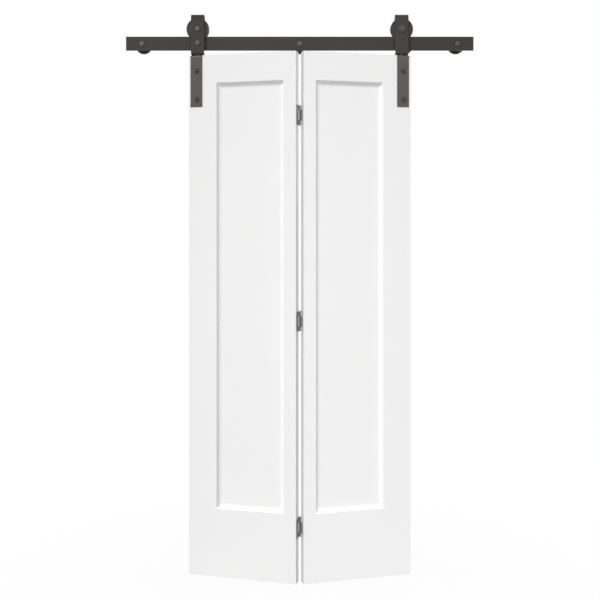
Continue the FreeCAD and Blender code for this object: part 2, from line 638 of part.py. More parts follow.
def leaf_strap():
    """The bracket: a flange under the hanger's foot and a strap down the leaf's face."""
    y = LEAF_FRONT - STRAP_THICKNESS / 2
    z = BRACKET_TOP - STRAP_THICKNESS / 2
    path = [(BRACKET_BEHIND_PIVOT, z), (y, z), (y, LEAF_TOP - BRACKET_DROP)]
    strap = bent_strip(path, (BRACKET_BEND_RADIUS,), STRAP_WIDTH)
    strap = round_upright_edges(strap, FOOT_CORNER, BRACKET_BEHIND_PIVOT)
    strap = drill(strap, PIVOT_RADIUS + RUNNING, point(0, 0, BRACKET_UNDER), UP, STRAP_THICKNESS)
    for height in STRAP_BOLT_HEIGHTS:
        place = point(0, STRAP_FRONT, height)
        strap = drill(strap, STRAP_BOLT_RADIUS + HOLE_PLAY, place, BACKWARD, STRAP_THICKNESS)
    return strap


def strap_fasteners():
    """Bolts through strap and leaf, with a washer and nut at the back of each."""
    bolts = []
    washers = []
    nuts = []
    stack = STRAP_THICKNESS + LEAF_THICKNESS + STRAP_WASHER_THICKNESS
    length = stack + STRAP_NUT_HEIGHT + BOLT_END
    for z in STRAP_BOLT_HEIGHTS:
        screw = bolt(STRAP_BOLT_RADIUS, length, STRAP_BOLT_FLATS, STRAP_BOLT_HEAD)
        bolts.append(facing(screw, FORWARD, point(0, STRAP_FRONT, z), 90))
        ring = tube(STRAP_WASHER_RADIUS, STRAP_BOLT_RADIUS + HOLE_PLAY, 0, STRAP_WASHER_THICKNESS)
        washers.append(facing(ring, BACKWARD, point(0, LEAF_BACK, z)))
        back_nut = nut(STRAP_BOLT_RADIUS, STRAP_BOLT_FLATS, STRAP_NUT_HEIGHT)
        seat = point(0, LEAF_BACK + STRAP_WASHER_THICKNESS, z)
        nuts.append(facing(back_nut, BACKWARD, seat, 90))
    return bolts, washers, nuts


# ---- hinges, in the leaf frame ------------------------------------------------------
PLATE_FACE = LEAF_INNER + HINGE_PLATE_THICKNESS
PLATE_FRONT = LEAF_BACK - HINGE_PLATE_DEPTH


def hinge_screw(y, z):
    """A countersunk wood screw through a hinge plate into the hinge stile."""
    sink = SCREW_HEAD_RADIUS - SCREW_RADIUS
    tip = SCREW_RADIUS * 2
    profile = [(0, 0), (SCREW_HEAD_RADIUS, 0), (SCREW_RADIUS, -sink),
               (SCREW_RADIUS, tip - SCREW_LENGTH), (0, -SCREW_LENGTH)]
    return facing(turned_profile(profile), SIDEWAYS, point(PLATE_FACE, y, z))


def plate_outline(front, back, low, high, chamfer):
    """A hinge plate on the leaf's edge with its two front corners cut off."""
    corners = [(back, low), (front + chamfer, low), (front, low + chamfer),
               (front, high - chamfer), (front + chamfer, high), (back, high), (back, low)]
    wire = Part.makePolygon([point(LEAF_INNER, y, z) for y, z in corners])
    return Part.Face(wire).extrude(SIDEWAYS * HINGE_PLATE_THICKNESS)


def knuckle(low, high, play):
    """One length of the hinge barrel and its bore."""
    place = point(HINGE_X, HINGE_Y, low)
    barrel = Part.makeCylinder(KNUCKLE_RADIUS, high - low, place, UP)
    bore = Part.makeCylinder(HINGE_PIN_RADIUS + play, high - low, place, UP)
    return barrel, bore


def screw_columns():
    """The two distances from the leaf's front at which hinge screws stand."""
    first = LEAF_BACK - SCREW_FROM_BACK
    return first, first - SCREW_ROW_SPACING


def outer_hinge_plate(centre):
    """The C-shaped plate with the end knuckles, and its screws."""
    half = HINGE_HEIGHT / 2
    window = KNUCKLE_HEIGHT / 2 + BODY_PLAY
    plate = plate_outline(PLATE_FRONT, HINGE_Y, centre - half, centre + half, HINGE_CHAMFER)
    opening = plate_outline(PLATE_FRONT + HINGE_STRIP, HINGE_Y + KNUCKLE_RADIUS,
                            centre - window, centre + window, HINGE_CHAMFER)
    plate = plate.cut(opening)
    bores = []
    for low, high in ((centre - half, centre - window), (centre + window, centre + half)):
        barrel, bore = knuckle(low, high, SEAT)
        plate = plate.fuse(barrel)
        bores.append(bore)
    arm = (half + window) / 2
    screws = [hinge_screw(y, centre + z) for y in screw_columns() for z in (-arm, arm)]
    return plate.removeSplitter().cut(bores + screws), screws


def inner_hinge_plate(centre):
    """The small plate with the middle knuckle, and its screws."""
    half = KNUCKLE_HEIGHT / 2
    front = PLATE_FRONT + HINGE_STRIP + BODY_PLAY
    plate = plate_outline(front, HINGE_Y, centre - half, centre + half, HINGE_CHAMFER)
    barrel, bore = knuckle(centre - half, centre + half, RUNNING)
    screws = [hinge_screw(screw_columns()[0], centre + z) for z in (-half / 2, half / 2)]
    return plate.fuse(barrel).removeSplitter().cut([bore] + screws), screws


def hinge_pin(centre):
    """A hinge pin with a button at each end."""
    half = HINGE_HEIGHT / 2
    edge = HINGE_PIN_HEAD_RADIUS - HINGE_PIN_HEAD / 2
    top = [(0, half + HINGE_PIN_HEAD), (edge, half + HINGE_PIN_HEAD),
           (HINGE_PIN_HEAD_RADIUS, half + HINGE_PIN_HEAD / 2), (HINGE_PIN_HEAD_RADIUS, half),
           (HINGE_PIN_RADIUS, half)]
    bottom = [(r, -h) for r, h in reversed(top)]
    pin = turned_profile(top + bottom)
    pin.translate(point(HINGE_X, HINGE_Y, centre))
    return pin


# ---- assembly -----------------------------------------------------------------------
LEFT_PLACE = point(-HALF_SPAN, RAIL_Y, 0)
RIGHT_PLACE = point(HALF_SPAN, RAIL_Y, 0)


def left_leaf(shapes):
    """Leaf-frame shapes in the left leaf's rest position."""
    result = []
    for shape in shapes:
        copy = shape.copy()
        copy.rotate(ORIGIN, UP, -FOLD_AT_REST)
        copy.translate(LEFT_PLACE)
        result.append(copy)
    return result


def right_leaf(shapes):
    """Leaf-frame shapes mirrored into the right leaf's rest position."""
    result = []
    for shape in shapes:
        copy = shape.mirror(ORIGIN, SIDEWAYS)
        copy.rotate(ORIGIN, UP, FOLD_AT_REST)
        copy.translate(RIGHT_PLACE)
        result.append(copy)
    return result


def save_track():
    """Rail, spacers and lag bolts."""
    save("track_rail", [track_rail()])
    save("wall_spacers", [wall_spacer(x) for x in SPACER_PLACES])
    save("lag_bolts", [lag_bolt(x) for x in SPACER_PLACES])
    save("lag_washers", [lag_washer(x) for x in SPACER_PLACES])


def save_shared_hanger_pieces(side, place):
    """What both hangers have: wheel, bearing, axle spacers, rivet and thrust washer."""
    inner, outer, balls = bearing(AXLE_RADIUS)
    save(side + "_wheel", moved([wheel()], place))
    save(side + "_bearing_outer_ring", moved([outer], place))
    save(side + "_bearing_inner_ring", moved([inner], place))
    save(side + "_bearing_balls", moved(balls, place))
    save(side + "_axle_spacers", moved(axle_spacers(), place))
    save(side + "_pivot_rivet", moved([pivot_rivet()], place))
    save(side + "_pivot_washer", moved([pivot_washer()], place))


def save_fixed_hanger():
    """The left hanger, bolted to the rail."""
    hole = SLEEVE_BOLT_RADIUS + SEAT
    strap = hanger_strap(hole, hole)
    place = point(0, -PLATE_OUTSIDE, 0)
    strap = drill(strap, FIXING_RADIUS + SEAT, place, BACKWARD, STRAP_THICKNESS)
    axle, sleeve, axle_nut = sleeved_axle()
    screw, spacer, washer, fixing_nut = hanger_fixing()
    pieces = {"fixed_hanger_strap": strap, "fixed_axle_bolt": axle, "fixed_axle_sleeve": sleeve,
              "fixed_axle_nut": axle_nut, "fixing_bolt": screw, "fixing_sleeve": spacer,
              "fixing_washer": washer, "fixing_nut": fixing_nut}
    for node, shape in pieces.items():
        save(node, moved([shape], LEFT_PLACE))
    save_shared_hanger_pieces("fixed", LEFT_PLACE)


def save_rolling_hanger():
    """The right hanger, which rolls along the rail."""
    hole = AXLE_RADIUS + SEAT
    axle, axle_nut = rolling_axle()
    save("rolling_hanger_strap", moved([hanger_strap(hole, hole)], RIGHT_PLACE))
    save("rolling_axle_bolt", moved([axle], RIGHT_PLACE))
    save("rolling_axle_nut", moved([axle_nut], RIGHT_PLACE))
    save_shared_hanger_pieces("rolling", RIGHT_PLACE)


def save_leaf(side, to_rest, screws):
    """One leaf with its strap; the hinge screws' pilot holes are cut in its stile."""
    front, back = skins()
    outer, inner, top, bottom = frame_wood()
    bolts, washers, nuts = strap_fasteners()
    pieces = {"front_skin": [front], "back_skin": [back], "outer_stile": [outer],
              "hinge_stile": [inner.cut(screws)], "top_rail": [top], "bottom_rail": [bottom],
              "honeycomb_core": [honeycomb()], "strap": [leaf_strap()],
              "strap_bolts": bolts, "strap_washers": washers, "strap_nuts": nuts}
    for name, shapes in pieces.items():
        save(side + "_leaf_" + name, to_rest(shapes))


def save_hinges():
    """Three hinges; returns the screws of the left and of the right leaf."""
    left_screws = []
    right_screws = []
    pins = []
    for name, centre in zip(("top", "middle", "bottom"), HINGE_HEIGHTS):
        plate, screws = outer_hinge_plate(centre)
        save(name + "_hinge_outer_plate", left_leaf([plate]))
        left_screws.extend(screws)
        plate, screws = inner_hinge_plate(centre)
        save(name + "_hinge_inner_plate", right_leaf([plate]))
        right_screws.extend(screws)
        pins.append(hinge_pin(centre))
    save("hinge_pins", left_leaf(pins))
    save("left_hinge_screws", left_leaf(left_screws))
    save("right_hinge_screws", right_leaf(right_screws))
    return left_screws, right_screws


def main():
    os.makedirs("parts", exist_ok=True)
    save_track()
    save_fixed_hanger()
    save_rolling_hanger()
    left_screws, right_screws = save_hinges()
    save_leaf("left", left_leaf, left_screws)
    save_leaf("right", right_leaf, right_screws)


main()
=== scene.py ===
"""Looks of a two-leaf folding closet door: paint, powder coat, plating and threads.

Metres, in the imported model's own frame: +X right along the rail, +Y into the wall and +Z up,
with the origin on the wall at the middle lag bolt. The frame holds every shape that carries
or moves; this script gives it its finishes and swaps the plain fasteners for modelled ones.
"""
import json
import math

import bmesh
import bpy
from mathutils import Matrix, Vector

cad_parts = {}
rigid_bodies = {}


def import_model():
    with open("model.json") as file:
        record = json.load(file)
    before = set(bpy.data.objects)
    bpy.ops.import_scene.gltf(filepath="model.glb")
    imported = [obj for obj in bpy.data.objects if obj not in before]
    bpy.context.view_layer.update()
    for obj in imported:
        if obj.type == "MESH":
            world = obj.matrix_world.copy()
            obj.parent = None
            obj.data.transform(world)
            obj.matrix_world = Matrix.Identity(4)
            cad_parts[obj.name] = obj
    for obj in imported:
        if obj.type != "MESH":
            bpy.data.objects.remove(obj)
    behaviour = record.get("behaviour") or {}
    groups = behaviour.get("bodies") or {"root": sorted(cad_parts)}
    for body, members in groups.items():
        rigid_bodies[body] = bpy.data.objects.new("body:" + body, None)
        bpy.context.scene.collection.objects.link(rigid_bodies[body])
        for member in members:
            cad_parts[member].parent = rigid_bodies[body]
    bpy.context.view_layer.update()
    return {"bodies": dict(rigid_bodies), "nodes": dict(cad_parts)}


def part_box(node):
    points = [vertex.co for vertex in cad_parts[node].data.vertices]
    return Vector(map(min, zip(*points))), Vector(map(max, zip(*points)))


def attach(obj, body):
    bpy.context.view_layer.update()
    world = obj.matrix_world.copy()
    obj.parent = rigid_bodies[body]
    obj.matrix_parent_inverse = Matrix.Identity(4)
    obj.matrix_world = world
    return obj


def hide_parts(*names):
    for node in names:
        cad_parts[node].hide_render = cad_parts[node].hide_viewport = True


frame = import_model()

MM = 0.001

# ---- camera and studio --------------------------------------------------------------
IMAGE_SIZE = 600
FOCAL_LENGTH = 964.6        # in pixels of the 600 x 600 frame
HORIZON_ROW = 224.1         # pixel row of the eye level
EYE = Vector((0.001, -4.0294, -0.744))
SENSOR = 36.0               # width in millimetres
WHITE = (1, 1, 1)
FLOOR_GAP = 14 * MM         # under the leaves' lower edges
FLOOR_RADIUS = 40.0         # metres; its rim is white on white
FLOOR_POINTS = 64
FLOOR_COLOUR = (0.86, 0.86, 0.86)
FLOOR_GLOW = 0.97           # share of plain white seen in the floor under the door
SHADOW_REACH = 1.6          # the floor is plain white beyond this
SHADOW_CORE = 0.3           # share of that reach before the glow starts to rise
ROOM_LEVEL = 0.34           # light from all round
KEY_SPREAD = math.radians(20)
KEY_PLACE = Vector((0, 0, 3))   # of every key; a sun shines the same from anywhere
# bearing left of the face, height and strength
LEAF_KEY = (math.radians(40), math.radians(50), 2.8)
RAIL_KEY = (math.radians(32), math.radians(12), 1.2)
# place, size and power
FRONT_LAMP = (Vector((0, -3.2, -0.6)), 1.0, 18)
BACK_LAMP = (Vector((0.8, 3.6, 0.6)), 2.5, 60)
LAMPS_AIM_DEPTH = -0.1      # the place on Y of the point that both lamps face

# ---- the door -----------------------------------------------------------------------
SIDES = ("left", "right")
HANGERS = ("fixed", "rolling")
HINGES = ("top", "middle", "bottom")
LEAF_TURN = math.radians(15)        # each leaf's turn out of the flat, at rest
FORWARD = Vector((0, -1, 0))
BACKWARD = Vector((0, 1, 0))
ACROSS = Vector((1, 0, 0))
UP = Vector((0, 0, 1))
# which way each leaf's front and its hinge edge look, at rest
LEAF_FACE = {"left": Vector((-math.sin(LEAF_TURN), -math.cos(LEAF_TURN), 0)),
             "right": Vector((math.sin(LEAF_TURN), -math.cos(LEAF_TURN), 0))}
HINGE_EDGE = {"left": Vector((math.cos(LEAF_TURN), -math.sin(LEAF_TURN), 0)),
              "right": Vector((-math.cos(LEAF_TURN), -math.sin(LEAF_TURN), 0))}

# ---- easing of the frame's sharp edges ----------------------------------------------
RAIL_ROUNDING = 1.5 * MM
STRAP_ROUNDING = 0.6 * MM
WASHER_ROUNDING = 0.3 * MM
SAME_POINT = 0.002 * MM             # points this close are one
FLAT_WITHIN = math.radians(0.5)     # faces that turn less than this are one flat face
SHARP_BEYOND = math.radians(35)     # edges that turn more than this are eased
ROUNDING_STEPS = 2

# ---- shader nodes -------------------------------------------------------------------
MIX_FACTOR = 0                      # sockets of a Mix node that blends colours
MIX_FIRST = 6
MIX_SECOND = 7
MIX_RESULT = 2
EDGE_SAMPLES = 6
# the edge mask lightens edges both as wear and as a painted edge highlight
EDGE_FULL_MARK = 0.80                    # cosine between true and rounded normal on a full edge
EDGE_MARK_END = 0.995                  # and where the edge ends

# ---- fasteners, in millimetres ------------------------------------------------------
RING_POINTS = 48
CREASE = math.radians(28)           # sides of a fastener that meet at more than this stay sharp
HEAD_CHAMFER = 0.94                 # flat top of a hexagon head, as a share of its flats
CHAMFER_SLOPE = math.tan(math.radians(30))
WASHER_FACE = 0.3                   # height of the round face under a hexagon head
NUT_SINK = 0.7                      # countersink at both ends of a nut's bore
ROWS_PER_TURN = 8                   # of a thread's mesh
THREAD_DEPTH = 0.54                 # of a bolt's thread, as a share of its pitch
THREADED_LENGTH = 2.5               # of a bolt, as a multiple of its radius
LAG_BOLT = {"radius": 4.0, "flats": 16.0, "head": 5.3}
LAG_SHANK = 55.5
LAG_THREAD = 50.0
LAG_TIP = 8.0
LAG_TAPER = 12.0                    # its thread narrows to the point over this length
LAG_PITCH = 3.0
LAG_THREAD_DEPTH = 0.9
STRAP_BOLT = {"radius": 5.0, "flats": 17.0, "head": 6.4, "length": 58.0, "pitch": 1.5}
STRAP_NUT = {"bore": 5.0, "flats": 17.0, "height": 8.0}
FIXING_BOLT = {"radius": 6.0, "flats": 18.0, "head": 7.0, "length": 36.5, "pitch": 1.75}
FIXING_NUT = {"bore": 6.0, "flats": 18.0, "height": 9.0}
FIXED_AXLE = {"radius": 6.0, "flats": 19.0, "head": 7.5, "length": 53.0, "pitch": 1.75}
FIXED_AXLE_NUT = {"bore": 6.0, "flats": 19.0, "height": 10.0}
ROLLING_AXLE = {"radius": 9.0, "flats": 27.0, "head": 9.0, "length": 53.0, "pitch": 2.5}
ROLLING_AXLE_NUT = {"bore": 9.0, "flats": 27.0, "height": 9.0}
SCREW_RADIUS = 1.9
SCREW_HEAD_RADIUS = 3.6
SCREW_LENGTH = 25.0
SCREW_THREAD = 17.0
SCREW_PITCH = 1.6
SCREW_THREAD_DEPTH = 0.5
SCREW_TAPER = 4.0                   # its thread narrows to the tip over this length
SCREW_RIM = 0.1                     # chamfer round its head
SCREW_CROSS = 2.1                   # half span of the cross recess
SCREW_CROSS_WIDTH = 1.0
SCREW_CROSS_DEPTH = 1.4
SCREW_CROSS_FLOOR = 0.7             # size of the recess's floor, as a share of its mouth


# ---- finishes: shader maths ---------------------------------------------------------
class Field:
    """A value that varies over a surface. Arithmetic on it adds Math nodes."""

    def __init__(self, finish, socket):
        self.finish = finish
        self.socket = socket

    def maths(self, operation, first, second):
        return self.finish.node("ShaderNodeMath", {"operation": operation}, {0: first, 1: second})

    def __add__(self, other):
        return self.maths("ADD", self, other)

    def __radd__(self, other):
        return self.maths("ADD", other, self)

    def __sub__(self, other):
        return self.maths("SUBTRACT", self, other)

    def __rsub__(self, other):
        return self.maths("SUBTRACT", other, self)

    def __mul__(self, other):
        return self.maths("MULTIPLY", self, other)

    def __rmul__(self, other):
        return self.maths("MULTIPLY", other, self)


class Finish:
    """A material, or the world, and the few kinds of node that it is made of."""

    def __init__(self, owner):
        owner.use_nodes = True
        self.owner = owner
        self.tree = owner.node_tree
        self.tree.nodes.clear()

    def node(self, kind, settings=(), sockets=(), output=0):
        """A node: its settings, then the values or links of its sockets."""
        made = self.tree.nodes.new(kind)
        for name, value in dict(settings).items():
            if name == "stops":
                self.set_stops(made.color_ramp, value)
            else:
                setattr(made, name, value)
        for name, value in dict(sockets).items():
            if isinstance(value, Field):
                self.tree.links.new(value.socket, made.inputs[name])
            else:
                made.inputs[name].default_value = value
        return Field(self, made.outputs[output]) if made.outputs else None

    def set_stops(self, ramp, stops):
        """The places and grey levels along a ramp."""
        while len(ramp.elements) < len(stops):
            ramp.elements.new(1.0)
        for element, (place, level) in zip(ramp.elements, stops):
            element.position = place
            element.color = (level, level, level, 1)

    def place(self, stretch=(1, 1, 1)):
        """Rest-pose position in metres, each axis times its stretch."""
        position = self.node("ShaderNodeTexCoord", output="Object")
        sockets = {0: position, 1: stretch}
        return self.node("ShaderNodeVectorMath", {"operation": "MULTIPLY"}, sockets)

    def cloud(self, size, detail=2.0, stretch=(1, 1, 1), roughness=0.5):
        """Soft random blotches of about the given size in metres, from 0 to 1."""
        sockets = {"Vector": self.place(stretch), "Scale": 1 / size, "Detail": detail,
                   "Roughness": roughness}
        return self.node("ShaderNodeTexNoise", {}, sockets)

    def ramp(self, field, *stops):
        """The field put through a straight ramp of (place, level) stops."""
        return self.node("ShaderNodeValToRGB", {"stops": stops}, {"Fac": field})

    def mix(self, factor, first, second):
        """A colour between two colours."""
        sockets = {MIX_FACTOR: factor, MIX_FIRST: colour(first), MIX_SECOND: colour(second)}
        return self.node("ShaderNodeMix", {"data_type": "RGBA"}, sockets, MIX_RESULT)

    def edge(self, radius):
        """1 along outer and inner edges within about the radius, 0 on open faces."""
        rounded = self.node("ShaderNodeBevel", {"samples": EDGE_SAMPLES}, {"Radius": radius})
        normal = self.node("ShaderNodeNewGeometry", output="Normal")
        sockets = {0: rounded, 1: normal}
        match = self.node("ShaderNodeVectorMath", {"operation": "DOT_PRODUCT"}, sockets, "Value")
        return self.ramp(match, (EDGE_FULL_MARK, 1.0), (EDGE_MARK_END, 0.0))

    def bump(self, height, distance, strength):
        """A normal that follows the height, of the given distance at its full strength."""
        sockets = {"Height": height, "Distance": distance, "Strength": strength}
        return self.node("ShaderNodeBump", {}, sockets)

    def done(self, **sockets):
        """The material, ending in a Principled shader with these sockets."""
        named = {name.replace("_", " "): value for name, value in sockets.items()}
        shader = self.node("ShaderNodeBsdfPrincipled", {}, named)
        self.node("ShaderNodeOutputMaterial", {}, {"Surface": shader})
        return self.owner


def new_finish(name):
    """A new material, ready for its nodes."""
    return Finish(bpy.data.materials.new(name))


def colour(value):
    """A colour as a socket takes it; fields pass through."""
    return value if isinstance(value, Field) else (*value, 1.0)


def shade(base, factor):
    """A colour made lighter or darker."""
    return tuple(channel * factor for channel in base)


# ---- finishes: one function each ----------------------------------------------------
def leaf_paint():
    """White satin paint, rolled on: a fine stipple and a barely uneven sheen."""
    white = (0.885, 0.885, 0.882)
    finish = new_finish("leaf_paint")
    drift = finish.cloud(350 * MM, detail=1.0)
    stipple = finish.cloud(1.6 * MM)
    body = finish.mix(drift, shade(white, 0.99), shade(white, 1.01))
    rough = 0.40 + 0.10 * finish.cloud(80 * MM)
    return finish.done(Base_Color=body, Roughness=rough,
                       Normal=finish.bump(stipple, 0.03 * MM, strength=0.5))


def edge_paint(name, white):
    """White over sawn wood: grain lines show through on the leaves' edges."""
    finish = new_finish(name)
    grain = finish.cloud(2.2 * MM, detail=3.0, stretch=(1, 1, 0.02), roughness=0.6)
    body = finish.mix(grain, shade(white, 0.965), white)
    rough = 0.46 + 0.12 * grain
    return finish.done(Base_Color=body, Roughness=rough,
                       Normal=finish.bump(grain, 0.12 * MM, strength=0.6))


def powder_coat(name, base, dullness=0.50):
    """Dark powder coat: fine orange peel, faint clouding, and lighter edges, partly wear of the
    coat and partly a painted edge highlight.
    """
    finish = new_finish(name)
    peel = finish.cloud(0.9 * MM)
    drift = finish.cloud(110 * MM)
    speck = finish.ramp(finish.cloud(2.5 * MM, detail=1.0), (0.62, 0.0), (0.74, 1.0))
    # lighter edges: partly wear of the coat, partly a painted edge highlight
    edge_wear_and_highlight = finish.edge(1.1 * MM)
    pale = shade(base, 1.8)
    rubbed_and_highlit = shade(base, 2.3)
    coat = finish.mix(drift, shade(base, 0.90), shade(base, 1.10))
    coat = finish.mix(0.16 * speck, coat, pale)
    coat = finish.mix(0.5 * edge_wear_and_highlight, coat, rubbed_and_highlit)
    rough = dullness + 0.10 * drift - 0.12 * edge_wear_and_highlight
    return finish.done(Base_Color=coat, Roughness=rough, Specular_IOR_Level=0.28,
                       Normal=finish.bump(peel, 0.05 * MM, strength=0.55))


def oxide(name, base):
    """Blackened bolts: smoother than the coated plates and lighter at the corners, partly wear
    and partly a painted highlight.
    """
    finish = new_finish(name)
    cloud = finish.cloud(9 * MM, detail=3.0)
    pits = finish.cloud(0.7 * MM)
    # lighter corners: partly wear, partly a painted highlight
    edge_wear_and_highlight = finish.edge(0.7 * MM)
    bare_and_highlit = shade(base, 2.4)
    metal = finish.mix(cloud, shade(base, 0.82), shade(base, 1.18))
    metal = finish.mix(0.6 * edge_wear_and_highlight, metal, bare_and_highlit)
    rough = 0.36 + 0.16 * cloud
    return finish.done(Base_Color=metal, Roughness=rough, Metallic=0.35,
                       Normal=finish.bump(pits, 0.02 * MM, strength=0.4))


def zinc_plate(name, base):
    """Dull zinc plating on rolled steel: faint upright rolling lines and clouding."""
    finish = new_finish(name)
    lines = finish.cloud(0.9 * MM, stretch=(1, 1, 0.04))
    cloud = finish.cloud(12 * MM, detail=3.0)
    # lighter edges: partly wear of the plating, partly a painted highlight
    edge_wear_and_highlight = finish.edge(0.5 * MM)
    bare_and_highlit = shade(base, 1.7)
    metal = finish.mix(cloud, shade(base, 0.8), shade(base, 1.15))
    metal = finish.mix(0.35 * edge_wear_and_highlight, metal, bare_and_highlit)
    rough = 0.34 + 0.14 * lines + 0.10 * cloud
    return finish.done(Base_Color=metal, Roughness=rough, Metallic=0.85,
                       Normal=finish.bump(lines, 0.01 * MM, strength=0.4))


def ground_steel():
    """Bright ground bearing steel, with fine marks along its axle."""
    base = (0.62, 0.62, 0.61)
    finish = new_finish("ground_steel")
    marks = finish.cloud(0.5 * MM, stretch=(1, 0.08, 1))
    metal = finish.mix(marks, shade(base, 0.88), base)
    return finish.done(Base_Color=metal, Roughness=0.2 + 0.15 * marks, Metallic=1.0,
                       Normal=finish.bump(marks, 0.005 * MM, strength=0.3))


def black_nylon():
    """Moulded black nylon washers."""
    base = (0.022, 0.022, 0.023)
    finish = new_finish("black_nylon")
    grain = finish.cloud(1.2 * MM, detail=3.0)
    body = finish.mix(grain, base, shade(base, 1.6))
    return finish.done(Base_Color=body, Roughness=0.45 + 0.15 * grain,
                       Normal=finish.bump(grain, 0.03 * MM, strength=0.4))


def brown_board():
    """Plain brown board of the honeycomb core, with its fibres."""
    base = (0.42, 0.27, 0.14)
    finish = new_finish("brown_board")
    fibre = finish.cloud(1.5 * MM, detail=4.0, stretch=(1, 0.15, 1))
    body = finish.mix(fibre, shade(base, 0.75), shade(base, 1.15))
    return finish.done(Base_Color=body, Roughness=0.85 + 0.1 * fibre,
                       Normal=finish.bump(fibre, 0.1 * MM, strength=0.6))


# ---- the frame's own pieces ---------------------------------------------------------
def dress(name, material, rounding=0.0):
    """Finish on a piece of the frame, with its sharp edges eased by the rounding."""
    piece = frame["nodes"][name]
    piece.data.materials.clear()
    piece.data.materials.append(material)
    if rounding:
        weld = piece.modifiers.new("join_faces", "WELD")
        weld.merge_threshold = SAME_POINT
        flat = piece.modifiers.new("flat_faces", "DECIMATE")
        flat.decimate_type = "DISSOLVE"
        flat.angle_limit = FLAT_WITHIN
        ease = piece.modifiers.new("eased_edges", "BEVEL")
        ease.width = rounding
        ease.segments = ROUNDING_STEPS
        ease.limit_method = "ANGLE"
        ease.angle_limit = SHARP_BEYOND
        ease.miter_outer = "MITER_ARC"
        smooth = piece.modifiers.new("even_shading", "WEIGHTED_NORMAL")
        smooth.keep_sharp = False


def dress_all(names, material):
    """The same finish on several pieces, with their edges as they are."""
    for name in names:
        dress(name, material)


def solids(node):
    """The points of each separate solid in a node."""
    shape = bmesh.new()
    shape.from_mesh(frame["nodes"][node].data)
    bmesh.ops.remove_doubles(shape, verts=shape.verts, dist=SAME_POINT)
    found = []
    seen = set()
    for first in shape.verts:
        if first in seen:
            continue
        seen.add(first)
        solid = [first]
        for vertex in solid:        # the list grows until its whole solid is in it
            near = {line.other_vert(vertex) for line in vertex.link_edges} - seen
            seen |= near
            solid.extend(near)
        found.append([vertex.co.copy() for vertex in solid])
    shape.free()
    return found


def seats(node, outward, corner, height):
    """A place for each fastener in a node, in which a millimetre is one unit.

    Its +Z points outward, its +X is where a hexagon has a corner, and the fastener's outer end
    is at the height.
    """
    places = []
    beside = outward.cross(corner)
    for points in solids(node):
        centre = Vector((0, 0, 0))
        for direction in (corner, beside):
            reach = [point.dot(direction) for point in points]
            centre += direction * (min(reach) + max(reach)) / 2
        top = max(point.dot(outward) for point in points)
        centre += outward * (top - height * MM)
        turn = Matrix((corner, beside, outward)).transposed().to_4x4()
        places.append(Matrix.Translation(centre) @ turn @ Matrix.Scale(MM, 4))
    return places


# ---- turned and threaded shapes, in millimetres about +Z ----------------------------
def ring(radius, height):
    """One closed ring of points; the radius and the height may depend on the angle."""
    points = []
    for step in range(RING_POINTS):
        angle = 2 * math.pi * step / RING_POINTS
        reach = radius(angle) if callable(radius) else radius
        rise = height(angle) if callable(height) else height
        points.append(Vector((reach * math.cos(angle), reach * math.sin(angle), rise)))
    return points


def hexagon(flats):
    """Radius of a hexagon with a corner on the X axis."""
    sector = math.radians(60)
    return lambda angle: flats / 2 / math.cos(angle % sector - sector / 2)


def chamfer(flats, level, sign):
    """Height at which a turned chamfer cuts a hexagon's sides; the sign is -1 at its low end."""
    reach = hexagon(flats)
    flat_top = flats / 2 * HEAD_CHAMFER
    return lambda angle: level - sign * (reach(angle) - flat_top) * CHAMFER_SLOPE


def thread(radius, depth, pitch, low, high, taper=0.0):
    """Rings of a right-hand thread from low to high; the taper narrows its low end."""
    rings = []
    rows = int((high - low) / pitch * ROWS_PER_TURN)
    for row in range(rows + 1):
        height = low + (high - low) * row / rows
        run_out = min(1.0, (height - low) / pitch, (high - height) / pitch)
        narrow = min(1.0, (height - low) / taper) if taper else 1.0

        def reach(angle):
            turn = (height / pitch - angle / (2 * math.pi)) % 1.0
            return (radius - depth + depth * run_out * (1 - abs(2 * turn - 1))) * narrow

        rings.append(ring(reach, height))
    return rings


def hexagon_head(flats, height):
    """Rings of a bolt's head: round washer face, six sides and a turned chamfer."""
    flat_top = flats / 2 * HEAD_CHAMFER
    return [ring(flat_top, 0), ring(flat_top, WASHER_FACE), ring(hexagon(flats), WASHER_FACE),
            ring(hexagon(flats), chamfer(flats, height, 1)), ring(flat_top, height)]


def bolt_rings(radius, flats, head, length, pitch):
    """A hexagon bolt, threaded over the length that its nut needs."""
    depth = THREAD_DEPTH * pitch
    threaded = THREADED_LENGTH * radius
    rings = [ring(radius - depth, -length)]
    rings += thread(radius, depth, pitch, pitch / 2 - length, threaded - length)
    rings += [ring(radius, threaded - length), ring(radius, 0)]
    return rings + hexagon_head(flats, head)


def lag_rings(radius, flats, head):
    """A lag bolt: plain shank, then a coarse wood thread that ends in a point."""
    tip = -(LAG_SHANK + LAG_THREAD + LAG_TIP)
    rings = thread(radius, LAG_THREAD_DEPTH, LAG_PITCH, tip, -LAG_SHANK, LAG_TAPER)[1:]
    return rings + [ring(radius, -LAG_SHANK), ring(radius, 0)] + hexagon_head(flats, head)


def nut_rings(bore, flats, height):
    """A nut with its corners turned off at both ends; its skin closes on itself."""
    flat_end = flats / 2 * HEAD_CHAMFER
    wide = bore + NUT_SINK
    side = hexagon(flats)
    return [ring(bore, NUT_SINK), ring(wide, 0), ring(flat_end, 0),
            ring(side, chamfer(flats, 0, -1)), ring(side, chamfer(flats, height, 1)),
            ring(flat_end, height), ring(wide, height), ring(bore, height - NUT_SINK)]


def cross(angle):
    """Outline of a screw's cross recess."""
    arm = (angle + math.pi / 4) % (math.pi / 2) - math.pi / 4
    end = SCREW_CROSS / math.cos(arm)
    side = SCREW_CROSS_WIDTH / 2 / abs(math.sin(arm)) if arm else end
    return min(end, side)


